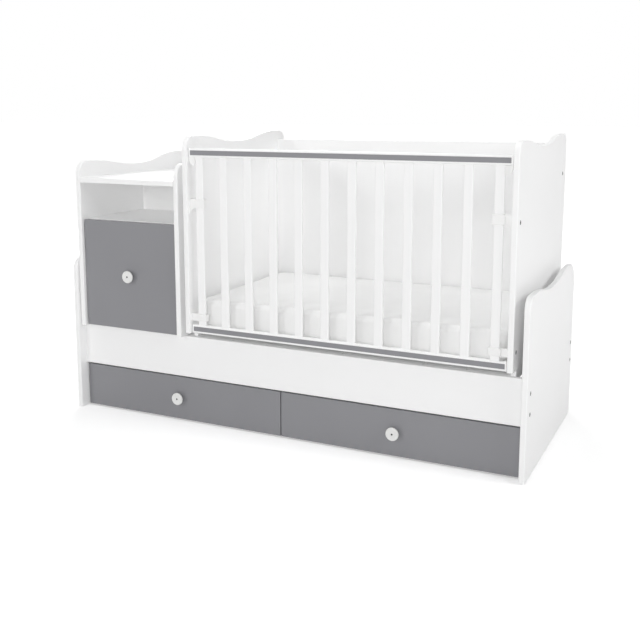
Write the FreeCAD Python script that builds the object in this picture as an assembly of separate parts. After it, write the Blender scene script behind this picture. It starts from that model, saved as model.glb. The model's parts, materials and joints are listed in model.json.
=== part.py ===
import FreeCAD, Part
import math
import os

# Convertible crib: a low bed base with two drawers on wheels, a changing cupboard over its left end and
# a slatted crib with a sliding front side over the rest. One STEP file per piece, in millimetres.
# +X runs to the right, +Y to the back and +Z up. The origin is on the floor under the middle of the base.

V = FreeCAD.Vector

# Boards and edges shared by the whole piece of furniture
BOARD = 18.0
EDGE_ROUND = 3.0
SOFT_EDGE = 1.5
OVERRUN = 5.0

# Bed base
BED_LENGTH = 1640.0
BED_DEPTH = 708.0
GLIDE_HEIGHT = 4.0
GLIDE_RADIUS = 8.0
GLIDE_INSET = 60.0
LOW_END_FRONT_CREST = 557.0
LOW_END_DIP = 533.0
LOW_END_BACK_CREST = 556.0
LOW_END_BACK_CORNER = 78.0
RAIL_THICK = 18.0
RAIL_HEIGHT = 145.0
RAIL_BOTTOM = 165.0
BACK_RAIL_SETBACK = 10.0
CLEAT = 25.0
BED_SLAT_DROP = 1.0
BED_SLAT_GAP = 2.0
BED_SLAT_THICK = 15.0
BED_SLAT_CLEARANCE = 1.0
CUPBOARD_BAY_SLATS = 3
CRIB_BAY_SLATS = 8

# Wavy top line of the end boards: round corners, level runs at the crests, where the dip lies and how
# long the flat handles of its curves are
FRONT_CORNER = 42.0
BACK_CORNER = 40.0
FRONT_CREST_RUN = 20.0
BACK_CREST_RUN = 35.0
DIP_PLACE_SHARE = 0.49
WAVE_HANDLE_SHARE = 0.52

# Furniture bolts with a hexagon socket
BOLT_HEAD_RADIUS = 7.0
BOLT_HEAD_HEIGHT = 2.5
BOLT_HEAD_CHAMFER = 0.8
BOLT_HEAD_CLEARANCE = 0.2
BOLT_SHANK_RADIUS = 3.0
BOLT_CLEARANCE = 0.1
BOLT_GRIP = 30.0
SOCKET_RADIUS = 2.6
SOCKET_DEPTH = 1.6
RAIL_BOLT_DROP = 43.0
RAIL_BOLT_SPACING = 64.0

# Drawers
DRAWER_SETBACK = 40.0
DRAWER_FRONT_THICK = 16.0
DRAWER_FLOOR_GAP = 6.0
DRAWER_TOP_GAP = 6.5
DRAWER_END_GAP = 3.0
DRAWER_BOX_INSET = 14.0
DRAWER_BACK_GAP = 84.0
DRAWER_BOX_DROP = 16.0
DRAWER_WALL = 12.0
DRAWER_BOTTOM_THICK = 6.0
PARTITION_FRONT_GAP = 0.3

# Drawer wheels
WHEEL_RADIUS = 14.0
WHEEL_WIDTH = 12.0
WHEEL_CHAMFER = 1.5
WHEEL_FLOOR_GAP = 0.4
WHEEL_TOP_GAP = 3.6
WHEEL_INSET_X = 70.0
WHEEL_INSET_Y = 70.0
AXLE_RADIUS = 3.0
AXLE_RUNNING_CLEARANCE = 0.05
AXLE_SEAT_CLEARANCE = 0.02
AXLE_STUB = 1.5
BRACKET_SHEET = 2.0
BRACKET_DEPTH = 26.0
BRACKET_SIDE_GAP = 1.0
BRACKET_EAR_RADIUS = 7.0

# Knobs
KNOB_RADIUS = 21.4
KNOB_LENGTH = 20.0
KNOB_DISC = 8.0
KNOB_RIM_SHARE = 0.39
KNOB_LIP = 3.5
KNOB_NECK_RADIUS = 9.0
KNOB_FLARE = 4.0
KNOB_DISH = 0.8
KNOB_SCREW_HEAD_RADIUS = 3.0
KNOB_SCREW_HEAD_HEIGHT = 2.0
KNOB_SCREW_SINK = 2.5
KNOB_SCREW_RADIUS = 2.0
KNOB_SCREW_CLEARANCE = 0.1
KNOB_SCREW_BITE = 10.0

# Changing cupboard
CUPBOARD_SIDE_GAP = 4.5
CUPBOARD_FRONT_SETBACK = 8.0
CUPBOARD_BACK_SETBACK = 8.0
CUPBOARD_INNER_WIDTH = 394.0
CUPBOARD_FRONT_CREST_RISE = 592.0
CUPBOARD_DIP_RISE = 570.0
CUPBOARD_BACK_CREST_RISE = 606.0
CHANGING_TOP_RISE = 535.0
NICHE_HEIGHT = 129.0
NICHE_DEPTH = 366.0
CUPBOARD_BACK_THICK = 12.0
SHELF_RISE = 190.0
SHELF_THICK = 16.0
SHELF_SETBACK = 30.0
SHELF_CLEARANCE = 1.0
SHELF_PIN_RADIUS = 2.5
SHELF_PIN_LENGTH = 16.0
SHELF_PIN_BITE = 8.0
SHELF_PIN_INSET = 40.0
STRETCHER_HEIGHT = 100.0

# Cupboard door and its concealed hinges
DOOR_THICK = 18.0
DOOR_RECESS = 12.0
DOOR_SIDE_CLEARANCE = 0.5
DOOR_FLOOR_GAP = 3.0
DOOR_TOP_GAP = 3.0
DOOR_SWING_CLEARANCE = 1.6
DOOR_EDGE_ROUND = 2.0
HINGE_INSET = 70.0
HINGE_AXIS_FROM_EDGE = 8.0
HINGE_AXIS_FROM_FRONT = 6.0
HINGE_PIN_RADIUS = 1.5
HINGE_BARREL_WALL = 1.5
HINGE_PIN_RUNNING_CLEARANCE = 0.05
HINGE_PIN_SEAT_CLEARANCE = 0.02
HINGE_PIN_BITE = 5.0
HINGE_ARM_HEIGHT = 16.0
HINGE_NECK = 4.0
HINGE_POCKET_CLEARANCE = 1.0
HINGE_POCKET_FRONT_CLEARANCE = 0.5
HINGE_ARM_LENGTH = 62.0
HINGE_ARM_WIDTH = 9.0
HINGE_ARM_GAP = 2.0
HINGE_PLATE_LENGTH = 46.0
HINGE_PLATE_HEIGHT = 40.0
HINGE_PLATE_THICK = 3.0
HINGE_PLATE_SETBACK = 30.0

# Crib
CRIB_SIDE_GAP = 21.5
CRIB_END_GAP = 28.0
CRIB_FRONT_SETBACK = 6.0
CRIB_BACK_SETBACK = 6.0
CRIB_FLOOR_GAP = 20.0
CRIB_FRONT_CREST_RISE = 665.0
CRIB_DIP_RISE = 641.0
CRIB_BACK_CREST_RISE = 671.0
CRIB_BACK_PANEL_INSET = 57.0
CRIB_BACK_PANEL_HEIGHT = 638.0
CRIB_CLEAT_HEIGHT = 12.0
CRIB_CLEAT_WIDTH = 30.0
CROSS_BATTENS = 3
BASE_BOARD_THICK = 6.0
BASE_BOARD_CLEARANCE = 2.0
BASE_HOLE_RADIUS = 16.0
BASE_HOLE_ROWS = 3
BASE_HOLE_COLUMNS = 6
BEARER_WIDTH = 16.0
BEARER_END_GAP = 4.0
DOWEL_RADIUS = 5.0
DOWEL_LENGTH = 40.0
DOWEL_CLEARANCE = 0.1
DOWEL_INSET = 110.0
BACK_BOLT_TOP_DROP = 103.0
BACK_BOLT_BOTTOM_RISE = 90.0

# Crib mattress: drawn-in sides, rounded edges and a crowned top
MATTRESS_THICK = 99.0
MATTRESS_GUIDE_GAP = 1.0
MATTRESS_FRONT_CLEARANCE = 4.0
MATTRESS_BACK_CLEARANCE = 3.0
MATTRESS_CORNER = 45.0
MATTRESS_DRAW_IN = 5.0
MATTRESS_EDGE = 14.0
MATTRESS_WELT = 5.0
MATTRESS_CROWN = 8.0

# Sliding front side, which stands back from the front edges of the crib ends
SIDE_SETBACK = 10.0
SIDE_DROP_CLEARANCE = 2.0
SIDE_END_GAP = 4.0
SIDE_THICK = 16.0
SIDE_RAIL_HEIGHT = 30.0
SIDE_RAIL_ROUND_SHARE = 0.7
SIDE_HEIGHT = 625.5
SIDE_SLATS = 12
SIDE_SLAT_INSET = 21.5
SIDE_SLAT_WIDTH = 29.0
SIDE_SLAT_THICK = 10.0
SIDE_SLAT_ROUND = 3.5
SIDE_SLAT_TENON = 12.0
STRIPE_HEIGHT = 16.0
STRIPE_DEPTH = 2.0
STRIPE_END_GAP = 4.0
CATCH_HEIGHT = 27.0
CATCH_THICK = 14.0
CATCH_SLAT_GAP = 1.0
CATCH_LIP = 8.0

# Guides that hold the end slats of the sliding side
GUIDE_CLEARANCE = 0.8
GUIDE_WALL = 4.0
GUIDE_ROUND = 3.0
GUIDE_PLATE = 5.0
GUIDE_PLATE_DEPTH = 54.0
UPPER_GUIDE_RISE = 427.0
UPPER_GUIDE_HEIGHT = 30.0
LOWER_GUIDE_RISE = 43.0
LOWER_GUIDE_HEIGHT = 24.0
GUIDE_BOLT_SETBACK = 21.0
GUIDE_BOLT_COVER = 1.0

# Places worked out from the sizes above
LEFT = -BED_LENGTH / 2
RIGHT = BED_LENGTH / 2
FRONT = -BED_DEPTH / 2
BACK = BED_DEPTH / 2
RAIL_TOP = RAIL_BOTTOM + RAIL_HEIGHT
CRIB_FRONT = FRONT + CRIB_FRONT_SETBACK
SIDE_FRONT = CRIB_FRONT + SIDE_SETBACK
SIDE_BACK = SIDE_FRONT + SIDE_THICK
RAIL_FRONT = SIDE_BACK + SIDE_DROP_CLEARANCE
RAIL_INNER = RAIL_FRONT + RAIL_THICK
BACK_RAIL_OUTER = BACK - BACK_RAIL_SETBACK
BACK_RAIL_INNER = BACK_RAIL_OUTER - RAIL_THICK
CLEAT_TOP = RAIL_TOP - BED_SLAT_DROP - BED_SLAT_THICK
DRAWER_FRONT_Y = FRONT + DRAWER_SETBACK
DRAWER_BOX_FRONT = DRAWER_FRONT_Y + DRAWER_FRONT_THICK
DRAWER_TOP = RAIL_BOTTOM - DRAWER_TOP_GAP
DRAWER_BACK = BACK_RAIL_INNER - DRAWER_BACK_GAP
WHEEL_Z = WHEEL_RADIUS + WHEEL_FLOOR_GAP
DRAWER_BOTTOM_Z = WHEEL_Z + WHEEL_RADIUS + WHEEL_TOP_GAP + BRACKET_SHEET
KNOB_RIM = KNOB_DISC * KNOB_RIM_SHARE
KNOB_DISH_RADIUS = KNOB_RADIUS - KNOB_RIM - KNOB_LIP
CUPBOARD_LEFT = LEFT + BOARD + CUPBOARD_SIDE_GAP
CUPBOARD_INNER_LEFT = CUPBOARD_LEFT + BOARD
CUPBOARD_INNER_RIGHT = CUPBOARD_INNER_LEFT + CUPBOARD_INNER_WIDTH
CUPBOARD_RIGHT = CUPBOARD_INNER_RIGHT + BOARD
CUPBOARD_FRONT = FRONT + CUPBOARD_FRONT_SETBACK
CUPBOARD_BACK = BACK - CUPBOARD_BACK_SETBACK
CHANGING_TOP_Z = RAIL_TOP + CHANGING_TOP_RISE
NICHE_TOP = CHANGING_TOP_Z - BOARD
NICHE_FLOOR_TOP = NICHE_TOP - NICHE_HEIGHT
NICHE_BACK_Y = CUPBOARD_FRONT + NICHE_DEPTH
SHELF_Z = RAIL_TOP + SHELF_RISE
DOOR_FRONT = CUPBOARD_FRONT + DOOR_RECESS
DOOR_BACK = DOOR_FRONT + DOOR_THICK
DOOR_FRONT_SWEEP = math.hypot(HINGE_AXIS_FROM_EDGE, HINGE_AXIS_FROM_FRONT)
DOOR_BACK_SWEEP = math.hypot(HINGE_AXIS_FROM_EDGE, DOOR_THICK - HINGE_AXIS_FROM_FRONT)
DOOR_SIDE_GAP = DOOR_FRONT_SWEEP - HINGE_AXIS_FROM_EDGE + DOOR_SIDE_CLEARANCE
DOOR_LEFT = CUPBOARD_INNER_LEFT + DOOR_SIDE_GAP
DOOR_RIGHT = CUPBOARD_INNER_RIGHT - DOOR_SIDE_GAP
DOOR_BOTTOM = RAIL_TOP + DOOR_FLOOR_GAP
DOOR_TOP = NICHE_FLOOR_TOP - DOOR_TOP_GAP
HINGE_X = DOOR_LEFT + HINGE_AXIS_FROM_EDGE
HINGE_Y = DOOR_FRONT + HINGE_AXIS_FROM_FRONT
HINGE_BARREL_RADIUS = HINGE_PIN_RADIUS + HINGE_BARREL_WALL
CASE_FRONT = HINGE_Y + DOOR_BACK_SWEEP + DOOR_SWING_CLEARANCE
CRIB_LEFT = CUPBOARD_RIGHT + CRIB_SIDE_GAP
CRIB_INNER_LEFT = CRIB_LEFT + BOARD
CRIB_RIGHT = RIGHT - BOARD - CRIB_END_GAP
CRIB_INNER_RIGHT = CRIB_RIGHT - BOARD
CRIB_INNER_LENGTH = CRIB_INNER_RIGHT - CRIB_INNER_LEFT
CRIB_MIDDLE = (CRIB_INNER_LEFT + CRIB_INNER_RIGHT) / 2
BEARER_LEFT = CRIB_LEFT + (BOARD - BEARER_WIDTH) / 2
BEARER_RIGHT = CRIB_RIGHT - (BOARD - BEARER_WIDTH) / 2
CRIB_BACK = BACK - CRIB_BACK_SETBACK
CRIB_BACK_PANEL_Y = CRIB_BACK - CRIB_BACK_PANEL_INSET
CRIB_BOTTOM = RAIL_TOP + CRIB_FLOOR_GAP
CRIB_BACK_PANEL_TOP = CRIB_BOTTOM + CRIB_BACK_PANEL_HEIGHT
CRIB_CLEAT_TOP = CRIB_BOTTOM + CRIB_CLEAT_HEIGHT
BASE_BOARD_TOP = CRIB_CLEAT_TOP + BASE_BOARD_THICK
SIDE_LEFT = CRIB_INNER_LEFT + SIDE_END_GAP
SIDE_RIGHT = CRIB_INNER_RIGHT - SIDE_END_GAP
SIDE_TOP = CRIB_BOTTOM + SIDE_HEIGHT
SIDE_RAIL_ROUND = (SIDE_RAIL_HEIGHT - STRIPE_HEIGHT) / 2 * SIDE_RAIL_ROUND_SHARE
SIDE_SLAT_FRONT = SIDE_FRONT + (SIDE_THICK - SIDE_SLAT_THICK) / 2
SIDE_SLAT_BACK = SIDE_SLAT_FRONT + SIDE_SLAT_THICK
STRETCHER_FRONT = SIDE_BACK + MATTRESS_FRONT_CLEARANCE
FIRST_SLAT_LEFT = SIDE_LEFT + SIDE_SLAT_INSET
FIRST_SLAT_RIGHT = FIRST_SLAT_LEFT + SIDE_SLAT_WIDTH
LAST_SLAT_LEFT = SIDE_RIGHT - SIDE_SLAT_INSET - SIDE_SLAT_WIDTH
SIDE_SLAT_PITCH = (LAST_SLAT_LEFT - FIRST_SLAT_LEFT) / (SIDE_SLATS - 1)
MATTRESS_END_CLEARANCE = GUIDE_PLATE + MATTRESS_GUIDE_GAP
GUIDE_COLLAR_LEFT = FIRST_SLAT_LEFT - GUIDE_CLEARANCE - GUIDE_WALL
GUIDE_REACH = GUIDE_COLLAR_LEFT - CRIB_INNER_LEFT - GUIDE_PLATE


def box(low, high):
    """A block between two corners."""
    return Part.makeBox(high[0] - low[0], high[1] - low[1], high[2] - low[2], V(*low))


def edges_along(shape, axis):
    """The straight edges of a shape that run along one axis."""
    found = []
    for edge in shape.Edges:
        run = edge.Vertexes[-1].Point - edge.Vertexes[0].Point
        if abs(run.dot(axis)) > run.Length * math.cos(math.radians(1)):
            found.append(edge)
    return found


def board(low, high, radius=SOFT_EDGE):
    """A block with every edge eased, as a banded board has."""
    block = box(low, high)
    return block.makeFillet(radius, block.Edges)


def rod(start, direction, radius, length):
    return Part.makeCylinder(radius, length, V(*start), direction)


def mirrored(shape):
    """The same shape at the other end of the crib."""
    return shape.mirror(V(CRIB_MIDDLE, 0, 0), V(1, 0, 0))


def save(name, *pieces):
    """Writes one node, a single solid or a group of separate ones."""
    solids = [solid for piece in pieces for solid in piece.Solids]
    shape = solids[0] if len(solids) == 1 else Part.makeCompound(solids)
    shape.exportStep(os.path.join("parts", name + ".step"))


def curve_between(start, end):
    """A smooth wave flank in the YZ plane that starts and ends level."""
    handle = (end.y - start.y) * WAVE_HANDLE_SHARE
    curve = Part.BezierCurve()
    curve.setPoles([start, V(start.x, start.y + handle, start.z), V(end.x, end.y - handle, end.z), end])
    return curve.toShape()


def corner_arc(start, end, centre):
    """A quarter round in the YZ plane."""
    radius = (start - centre).Length
    middle = (start + end) / 2 - centre
    middle.normalize()
    return Part.Arc(start, centre + middle * radius, end).toShape()


def wavy_board(x, front, back, bottom, front_crest, dip, back_crest, back_corner):
    """An end board whose top dips between two rounded crests, with eased edges."""
    dip_y = front + (back - front) * DIP_PLACE_SHARE
    front_low = V(x, front, bottom)
    front_high = V(x, front, front_crest - FRONT_CORNER)
    front_top = V(x, front + FRONT_CORNER, front_crest)
    front_fall = V(x, front_top.y + FRONT_CREST_RUN, front_crest)
    dip_point = V(x, dip_y, dip)
    back_top = V(x, back - back_corner, back_crest)
    back_rise = V(x, back_top.y - BACK_CREST_RUN, back_crest)
    back_high = V(x, back, back_crest - back_corner)
    back_low = V(x, back, bottom)
    outline = Part.Wire([
        Part.makeLine(front_low, front_high),
        corner_arc(front_high, front_top, V(x, front + FRONT_CORNER, front_crest - FRONT_CORNER)),
        Part.makeLine(front_top, front_fall),
        curve_between(front_fall, dip_point),
        curve_between(dip_point, back_rise),
        Part.makeLine(back_rise, back_top),
        corner_arc(back_top, back_high, V(x, back - back_corner, back_crest - back_corner)),
        Part.makeLine(back_high, back_low),
        Part.makeLine(back_low, front_low),
    ])
    panel = Part.Face(outline).extrude(V(BOARD, 0, 0))
    rims = []
    for edge in panel.Edges:
        box_of_edge = edge.BoundBox
        if box_of_edge.XLength < SOFT_EDGE and box_of_edge.ZMax > bottom + EDGE_ROUND:
            rims.append(edge)
    return panel.makeFillet(EDGE_ROUND, rims)


def bolt(point, direction, grip):
    """A furniture bolt: chamfered head sunk flush in the board, hexagon socket, plain shank."""
    head = rod(point, direction, BOLT_HEAD_RADIUS, BOLT_HEAD_HEIGHT)
    outer = [edge for edge in head.Edges if (edge.CenterOfMass - point).dot(direction) < BOLT_HEAD_CHAMFER]
    head = head.makeChamfer(BOLT_HEAD_CHAMFER, [edge for edge in outer if edge.Closed])
    corners = []
    for step in range(7):
        angle = math.radians(60 * step)
        corners.append(V(0, SOCKET_RADIUS * math.cos(angle), SOCKET_RADIUS * math.sin(angle)))
    socket = Part.Face(Part.makePolygon(corners)).extrude(V(math.copysign(SOCKET_DEPTH, direction.x), 0, 0))
    socket.translate(point)
    return head.fuse(rod(point, direction, BOLT_SHANK_RADIUS, grip)).cut(socket)


def bolt_hole(point, direction, grip):
    """The stepped hole of a bolt, with its counterbore."""
    start = point - direction * OVERRUN
    bore = rod(start, direction, BOLT_SHANK_RADIUS + BOLT_CLEARANCE, grip + OVERRUN + BOLT_CLEARANCE)
    sink = rod(start, direction, BOLT_HEAD_RADIUS + BOLT_HEAD_CLEARANCE, BOLT_HEAD_HEIGHT + OVERRUN)
    return bore.fuse(sink)


def spread(low, high, count):
    """Middles of count equal bays between low and high."""
    bay = (high - low) / count
    return [low + bay * (index + 0.5) for index in range(count)]


def bed_base():
    """End panels, rails, partition, cleats, close-set slats, bolts and glides of the low bed."""
    middle_y = {
        "front": RAIL_FRONT + RAIL_THICK / 2,
        "back": BACK_RAIL_OUTER - RAIL_THICK / 2,
    }
    heights = (RAIL_TOP - RAIL_BOLT_DROP, RAIL_TOP - RAIL_BOLT_DROP - RAIL_BOLT_SPACING)
    left_end = wavy_board(
        LEFT, FRONT, BACK, GLIDE_HEIGHT, LOW_END_FRONT_CREST, LOW_END_DIP, LOW_END_BACK_CREST,
        LOW_END_BACK_CORNER)
    right_end = left_end.copy()
    right_end.translate(V(BED_LENGTH - BOARD, 0, 0))
    low = (LEFT + BOARD, RAIL_FRONT, RAIL_BOTTOM)
    high = (RIGHT - BOARD, RAIL_INNER, RAIL_TOP)
    front_rail = board(low, high)
    low = (LEFT + BOARD, BACK_RAIL_INNER, RAIL_BOTTOM)
    high = (RIGHT - BOARD, BACK_RAIL_OUTER, RAIL_TOP)
    back_rail = board(low, high)
    bolts = []
    for place in middle_y.values():
        for height in heights:
            for point, direction in (
                (V(LEFT, place, height), V(1, 0, 0)),
                (V(RIGHT, place, height), V(-1, 0, 0)),
            ):
                bolts.append(bolt(point, direction, BOARD + BOLT_GRIP))
                hole = bolt_hole(point, direction, BOARD + BOLT_GRIP)
                left_end = left_end.cut(hole)
                right_end = right_end.cut(hole)
                front_rail = front_rail.cut(hole)
                back_rail = back_rail.cut(hole)
    save("left_end_panel", left_end)
    save("right_end_panel", right_end)
    save("front_rail", front_rail)
    save("back_rail", back_rail)
    save("rail_bolts", *bolts)

    partition_front = DRAWER_BOX_FRONT + PARTITION_FRONT_GAP
    low = (-BOARD / 2, partition_front, GLIDE_HEIGHT)
    save("centre_partition", box(low, (BOARD / 2, BACK_RAIL_INNER, CLEAT_TOP - CLEAT)))
    cleats = []
    for y_low in (RAIL_INNER, BACK_RAIL_INNER - CLEAT):
        low = (LEFT + BOARD, y_low, CLEAT_TOP - CLEAT)
        cleats.append(box(low, (RIGHT - BOARD, y_low + CLEAT, CLEAT_TOP)))
    save("rail_cleats", *cleats)

    slats = []
    slat_front = RAIL_INNER + BED_SLAT_CLEARANCE
    slat_back = BACK_RAIL_INNER - BED_SLAT_CLEARANCE
    for bay_left, bay_right, count in (
        (LEFT + BOARD, BEARER_LEFT, CUPBOARD_BAY_SLATS),
        (BEARER_LEFT + BEARER_WIDTH, BEARER_RIGHT - BEARER_WIDTH, CRIB_BAY_SLATS),
    ):
        half = ((bay_right - bay_left) / count - BED_SLAT_GAP) / 2
        for middle in spread(bay_left, bay_right, count):
            low = (middle - half, slat_front, CLEAT_TOP)
            slats.append(board(low, (middle + half, slat_back, CLEAT_TOP + BED_SLAT_THICK)))
    save("bed_slats", *slats)

    glides = []
    for x in (LEFT + BOARD / 2, 0, RIGHT - BOARD / 2):
        for y in (partition_front + GLIDE_INSET, BACK - GLIDE_INSET - BACK_RAIL_SETBACK):
            glides.append(rod((x, y, 0), V(0, 0, 1), GLIDE_RADIUS, GLIDE_HEIGHT))
    save("floor_glides", *glides)


def knob(x, surface_y, z):
    """A round knob with a dished face and its screw, standing out of a front towards -Y."""
    disc_back = KNOB_LENGTH - KNOB_DISC
    face = KNOB_LENGTH
    rim_middle = KNOB_RIM * math.sqrt(0.5)
    head_seat = face - KNOB_DISH - KNOB_SCREW_SINK
    bore = KNOB_SCREW_RADIUS + KNOB_SCREW_CLEARANCE
    sink = KNOB_SCREW_HEAD_RADIUS + KNOB_SCREW_CLEARANCE

    def at(radius, out):
        return V(radius, -out, 0)

    profile = Part.Wire([
        Part.makeLine(at(bore, 0), at(KNOB_NECK_RADIUS, 0)),
        Part.makeLine(at(KNOB_NECK_RADIUS, 0), at(KNOB_NECK_RADIUS, disc_back - KNOB_FLARE)),
        Part.makeLine(at(KNOB_NECK_RADIUS, disc_back - KNOB_FLARE), at(KNOB_RADIUS - KNOB_RIM, disc_back)),
        Part.Arc(
            at(KNOB_RADIUS - KNOB_RIM, disc_back),
            at(KNOB_RADIUS - KNOB_RIM + rim_middle, disc_back + KNOB_RIM - rim_middle),
            at(KNOB_RADIUS, disc_back + KNOB_RIM)).toShape(),
        Part.makeLine(at(KNOB_RADIUS, disc_back + KNOB_RIM), at(KNOB_RADIUS, face - KNOB_RIM)),
        Part.Arc(
            at(KNOB_RADIUS, face - KNOB_RIM),
            at(KNOB_RADIUS - KNOB_RIM + rim_middle, face - KNOB_RIM + rim_middle),
            at(KNOB_RADIUS - KNOB_RIM, face)).toShape(),
        Part.makeLine(at(KNOB_RADIUS - KNOB_RIM, face), at(KNOB_DISH_RADIUS, face - KNOB_DISH)),
        Part.makeLine(at(KNOB_DISH_RADIUS, face - KNOB_DISH), at(sink, face - KNOB_DISH)),
        Part.makeLine(at(sink, face - KNOB_DISH), at(sink, head_seat)),
        Part.makeLine(at(sink, head_seat), at(bore, head_seat)),
        Part.makeLine(at(bore, head_seat), at(bore, 0)),
    ])
    body = Part.Face(profile).revolve(V(0, 0, 0), V(0, 1, 0), 360)
    body = Part.Solid(body) if body.ShapeType == "Shell" else body
    head_front = (0, -head_seat - KNOB_SCREW_HEAD_HEIGHT, 0)
    head = rod(head_front, V(0, 1, 0), KNOB_SCREW_HEAD_RADIUS, KNOB_SCREW_HEAD_HEIGHT)
    screw = head.fuse(rod((0, -head_seat, 0), V(0, 1, 0), KNOB_SCREW_RADIUS, head_seat + KNOB_SCREW_BITE))
    place = V(x, surface_y, z)
    body.translate(place)
    screw.translate(place)
    hole_length = KNOB_SCREW_BITE + OVERRUN + KNOB_SCREW_CLEARANCE
    hole = rod((x, surface_y - OVERRUN, z), V(0, 1, 0), bore, hole_length)
    return body, screw, hole


def wheel_set(x, y, z):
    """One wheel, with its axle and its sheet-metal bracket under the drawer."""
    wheel_low = x - WHEEL_WIDTH / 2
    wheel = rod((wheel_low, y, z), V(1, 0, 0), WHEEL_RADIUS, WHEEL_WIDTH)
    wheel = wheel.makeChamfer(WHEEL_CHAMFER, [edge for edge in wheel.Edges if edge.Closed])
    bore = AXLE_RADIUS + AXLE_RUNNING_CLEARANCE
    wheel = wheel.cut(rod((wheel_low - OVERRUN, y, z), V(1, 0, 0), bore, WHEEL_WIDTH + OVERRUN * 2))
    half_inside = WHEEL_WIDTH / 2 + BRACKET_SIDE_GAP
    half_outside = half_inside + BRACKET_SHEET
    low = (x - half_outside, y - BRACKET_DEPTH / 2, DRAWER_BOTTOM_Z - BRACKET_SHEET)
    bracket = box(low, (x + half_outside, y + BRACKET_DEPTH / 2, DRAWER_BOTTOM_Z))
    for ear_x in (x - half_outside, x + half_inside):
        low = (ear_x, y - BRACKET_EAR_RADIUS, z)
        bracket = bracket.fuse(box(low, (ear_x + BRACKET_SHEET, y + BRACKET_EAR_RADIUS, DRAWER_BOTTOM_Z)))
        bracket = bracket.fuse(rod((ear_x, y, z), V(1, 0, 0), BRACKET_EAR_RADIUS, BRACKET_SHEET))
    reach = half_outside + AXLE_STUB
    seat = AXLE_RADIUS + AXLE_SEAT_CLEARANCE
    bracket = bracket.cut(rod((x - reach, y, z), V(1, 0, 0), seat, reach * 2)).removeSplitter()
    axle = rod((x - reach, y, z), V(1, 0, 0), AXLE_RADIUS, reach * 2)
    return wheel, bracket, axle


def drawer(side, x_low, x_high):
    """A drawer with a plain front, a four-board box and wheels that roll on the floor."""
    middle_x = (x_low + x_high) / 2
    middle_z = (DRAWER_FLOOR_GAP + DRAWER_TOP) / 2
    knob_body, screw, hole = knob(middle_x, DRAWER_FRONT_Y, middle_z)
    front = board((x_low, DRAWER_FRONT_Y, DRAWER_FLOOR_GAP), (x_high, DRAWER_BOX_FRONT, DRAWER_TOP))
    save(side + "_drawer_front", front.cut(hole))
    save(side + "_drawer_knob", knob_body)
    save(side + "_drawer_knob_screw", screw)

    left = x_low + DRAWER_BOX_INSET
    right = x_high - DRAWER_BOX_INSET
    back = DRAWER_BACK
    floor = DRAWER_BOTTOM_Z + DRAWER_BOTTOM_THICK
    top = DRAWER_TOP - DRAWER_BOX_DROP
    walls = []
    for wall_x in (left, right - DRAWER_WALL):
        walls.append(board((wall_x, DRAWER_BOX_FRONT, floor), (wall_x + DRAWER_WALL, back, top)))
    save(side + "_drawer_sides", *walls)
    low = (left + DRAWER_WALL, back - DRAWER_WALL, floor)
    save(side + "_drawer_back", board(low, (right - DRAWER_WALL, back, top)))
    save(side + "_drawer_bottom", box((left, DRAWER_BOX_FRONT, DRAWER_BOTTOM_Z), (right, back, floor)))

    mounts = []
    axle_lines = {"front": DRAWER_BOX_FRONT + WHEEL_INSET_Y, "rear": back - WHEEL_INSET_Y}
    for line, wheel_y in axle_lines.items():
        wheels = []
        for wheel_x in (left + WHEEL_INSET_X, right - WHEEL_INSET_X):
            wheel, bracket, axle = wheel_set(wheel_x, wheel_y, WHEEL_Z)
            wheels.append(wheel)
            mounts += [bracket, axle]
        save(side + "_drawer_" + line + "_wheels", *wheels)
    save(side + "_drawer_wheel_mounts", *mounts)


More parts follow.
